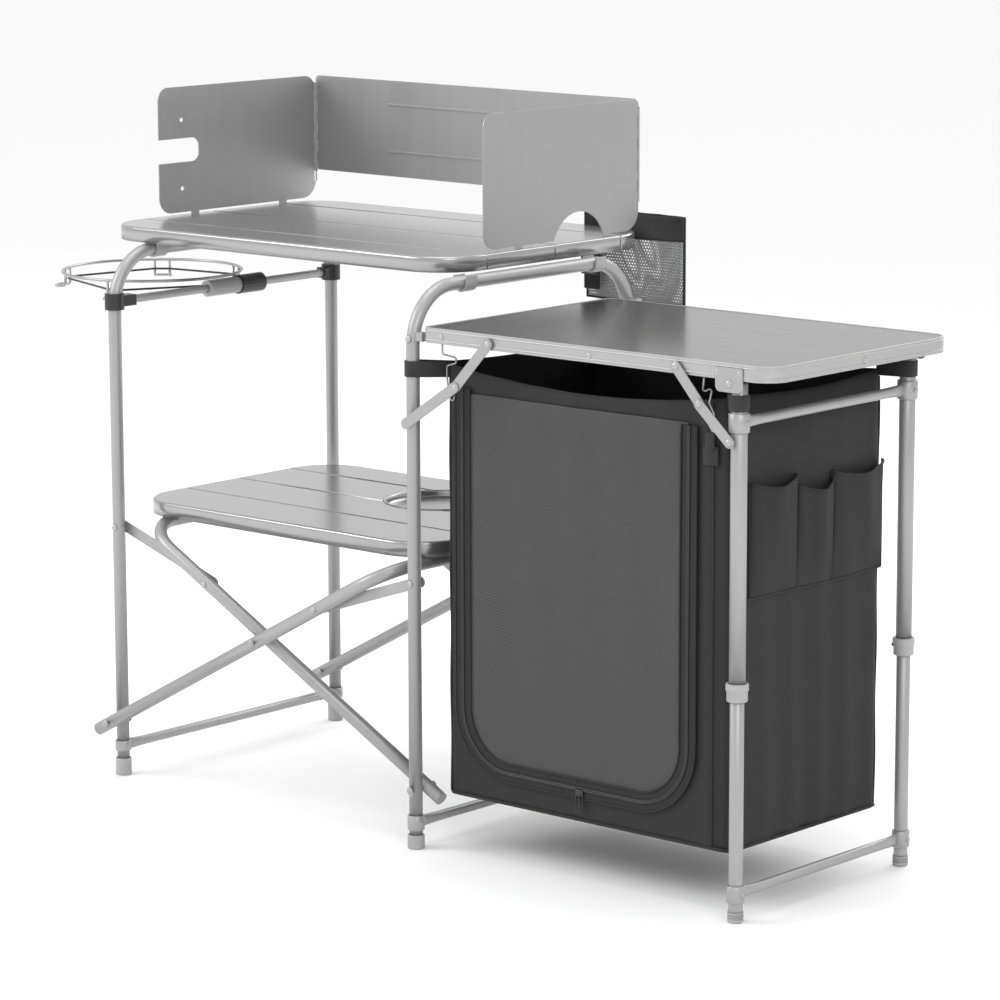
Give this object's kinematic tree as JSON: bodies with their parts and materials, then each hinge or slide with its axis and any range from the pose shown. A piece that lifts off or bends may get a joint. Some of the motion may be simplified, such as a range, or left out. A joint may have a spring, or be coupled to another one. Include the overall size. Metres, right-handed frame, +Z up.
{
  "type": "camp kitchen table",
  "caption": "Folding camp kitchen table: slatted top with windscreen on a scissor stand, lower shelf, waste-bag ring, and a side table over a fabric cupboard.",
  "frame": {"origin": "on the ground, under the middle of the bounding box of the whole open kitchen", "axes": "+X towards the side table, +Y towards the windscreen's rear panel, +Z up; the cook stands at -Y"},
  "size_m": [1.5141, 0.5872, 1.011],
  "materials": {
    "tube_metal": "satin anodised",
    "slat_metal": "satin",
    "screen_metal": "matt satin",
    "wire_steel": "satin",
    "dark_laminate": "semi-gloss dark laminate on board",
    "grey_plastic": "moulded",
    "black_plastic": "moulded",
    "elastic": "braided elastic",
    "woven_fabric": "coarse woven",
    "mesh_fabric": "open mesh"
  },
  "bodies": {
    "right_stand": {"right_frame": "tube_metal", "right_front_foot": "grey_plastic", "right_rear_foot": "grey_plastic", "right_crossbar": "tube_metal", "right_front_clip": "grey_plastic", "right_rear_clip": "grey_plastic", "side_rail": "tube_metal", "side_board": "dark_laminate", "side_frame": "tube_metal", "side_hinge_front": "tube_metal", "side_hinge_rear": "tube_metal", "left_brace_upper": "tube_metal", "left_brace_lower": "tube_metal", "cupboard_bag": "woven_fabric", "cupboard_door": "mesh_fabric", "cupboard_shelf": "woven_fabric"},
    "scissor_b": {"scissor_b": "tube_metal"},
    "scissor_a": {"scissor_a": "tube_metal"},
    "left_stand": {"left_frame": "tube_metal", "left_front_foot": "grey_plastic", "left_rear_foot": "grey_plastic", "left_crossbar": "tube_metal", "holder_bracket_front": "black_plastic", "holder_bracket_rear": "black_plastic", "holder_bar": "tube_metal", "left_front_clip": "grey_plastic", "left_rear_clip": "grey_plastic"},
    "right_link": {"right_link": "tube_metal"},
    "left_link": {"left_link": "tube_metal"},
    "shelf": {"shelf_slat_1": "slat_metal", "shelf_slat_2": "slat_metal", "shelf_slat_3": "slat_metal", "shelf_slat_4": "slat_metal", "shelf_dish": "slat_metal"},
    "main_top": {"main_slat_1": "slat_metal", "main_slat_2": "slat_metal", "main_slat_3": "slat_metal", "main_slat_4": "slat_metal", "utensil_pouch": "mesh_fabric"},
    "windscreen": {"screen_back_panel": "screen_metal"},
    "left_wing": {"screen_left_wing": "screen_metal"},
    "right_wing": {"screen_right_wing": "screen_metal"},
    "bag_ring": {"ring_wire": "wire_steel", "ring_sleeve": "grey_plastic", "elastic_cord": "elastic"},
    "lock_sleeve": {"lock_sleeve": "black_plastic"},
    "side_legs": {"side_leg_front_upper": "tube_metal", "side_leg_rear_upper": "tube_metal", "side_upper_crossbar": "tube_metal", "side_leg_front_collar": "grey_plastic", "side_leg_rear_collar": "grey_plastic"},
    "release_button": {"leg_release_button": "black_plastic"},
    "lower_legs": {"side_leg_front_lower": "tube_metal", "side_leg_rear_lower": "tube_metal", "side_lower_crossbar": "tube_metal", "side_leg_front_foot": "grey_plastic", "side_leg_rear_foot": "grey_plastic"},
    "right_brace_upper": {"right_brace_upper": "tube_metal"},
    "right_brace_lower": {"right_brace_lower": "tube_metal"},
    "zip_slider": {"zip_slider": "black_plastic"}
  },
  "joints": [
    {"name": "stand_fold", "type": "hinge", "parent": "right_stand", "child": "scissor_b", "pos_m": [0.131, -0.0336, 0.084], "axis": [0, 1, 0], "range_deg": [0, 42]},
    {"name": "scissor_cross", "type": "hinge", "parent": "scissor_b", "child": "scissor_a", "pos_m": [-0.177, -0.0336, 0.24985], "axis": [0, 1, 0], "range_deg": [-84.1, 0]},
    {"name": "left_stand_pin", "type": "hinge", "parent": "scissor_a", "child": "left_stand", "pos_m": [-0.485, -0.0336, 0.084], "axis": [0, 1, 0], "range_deg": [0, 42.1]},
    {"name": "right_link_pin", "type": "hinge", "parent": "right_stand", "child": "right_link", "pos_m": [0.131, -0.2636, 0.377], "axis": [0, 1, 0], "range_deg": [0, 85.5]},
    {"name": "left_link_pin", "type": "hinge", "parent": "left_stand", "child": "left_link", "pos_m": [-0.485, -0.2396, 0.377], "axis": [0, 1, 0], "range_deg": [-85.5, 0]},
    {"name": "shelf_lift_off", "type": "slide", "parent": "right_stand", "child": "shelf", "axis": [-0.9337, 0, 0.3579], "range_m": [0, 1.2]},
    {"name": "side_leg_fold", "type": "hinge", "parent": "right_stand", "child": "side_legs", "pos_m": [0.689, -0.0916, 0.709], "axis": [0, 1, 0], "range_deg": [0, 84], "deforming": ["cupboard_bag", "cupboard_door", "cupboard_shelf"]},
    {"name": "lower_leg_slide", "type": "slide", "parent": "side_legs", "child": "lower_legs", "axis": [0, 0, 1], "range_m": [0, 0.2401]},
    {"name": "right_brace_upper_pin", "type": "hinge", "parent": "right_stand", "child": "right_brace_upper", "pos_m": [0.603, -0.2906, 0.727], "axis": [0, 1, 0], "range_deg": [0, 103]},
    {"name": "right_brace_lower_pin", "type": "hinge", "parent": "side_legs", "child": "right_brace_lower", "pos_m": [0.693, -0.2926, 0.637], "axis": [0, 1, 0], "range_deg": [-127, 0]},
    {"name": "main_top_lift", "type": "slide", "parent": "right_stand", "child": "main_top", "axis": [0, 0, 1], "range_m": [0, 0.12]},
    {"name": "windscreen_lift", "type": "slide", "parent": "main_top", "child": "windscreen", "axis": [0, 0, 1], "range_m": [0, 0.1]},
    {"name": "left_wing_hinge", "type": "hinge", "parent": "windscreen", "child": "left_wing", "pos_m": [-0.565, 0.2614, 0.923], "axis": [0, 0, 1], "range_deg": [0, 86.5]},
    {"name": "right_wing_hinge", "type": "hinge", "parent": "windscreen", "child": "right_wing", "pos_m": [0.109, 0.2334, 0.923], "axis": [0, 0, 1], "range_deg": [-90, 0]},
    {"name": "ring_swing", "type": "hinge", "parent": "left_stand", "child": "bag_ring", "pos_m": [-0.485, -0.0296, 0.714], "axis": [0, 1, 0], "range_deg": [-75, 0]},
    {"name": "lock_sleeve_slide", "type": "slide", "parent": "left_stand", "child": "lock_sleeve", "axis": [0, 1, 0], "range_m": [0, 0.04]},
    {"name": "release_button_press", "type": "slide", "parent": "side_legs", "child": "release_button", "axis": [1, 0, 0], "range_m": [0, 0.0012], "stiffness_N_per_m": 400, "springref_m": -0.002},
    {"name": "zip_slide", "type": "slide", "parent": "right_stand", "child": "zip_slider", "axis": [1, 0, 0], "range_m": [-0.06, 0.06]}
  ],
  "couplings": [
    {"joint": "scissor_cross", "follows": "stand_fold", "ratio": -2},
    {"joint": "left_stand_pin", "follows": "stand_fold", "ratio": 1},
    {"joint": "right_link_pin", "follows": "stand_fold", "ratio": 2.03},
    {"joint": "left_link_pin", "follows": "stand_fold", "ratio": -2.03},
    {"joint": "shelf_lift_off", "follows": "stand_fold", "m_per_rad": 1.606},
    {"joint": "lower_leg_slide", "follows": "side_leg_fold", "m_per_rad": 0.1637},
    {"joint": "right_brace_upper_pin", "follows": "side_leg_fold", "ratio": 1.218},
    {"joint": "right_brace_lower_pin", "follows": "side_leg_fold", "ratio": -1.5}
  ]
}
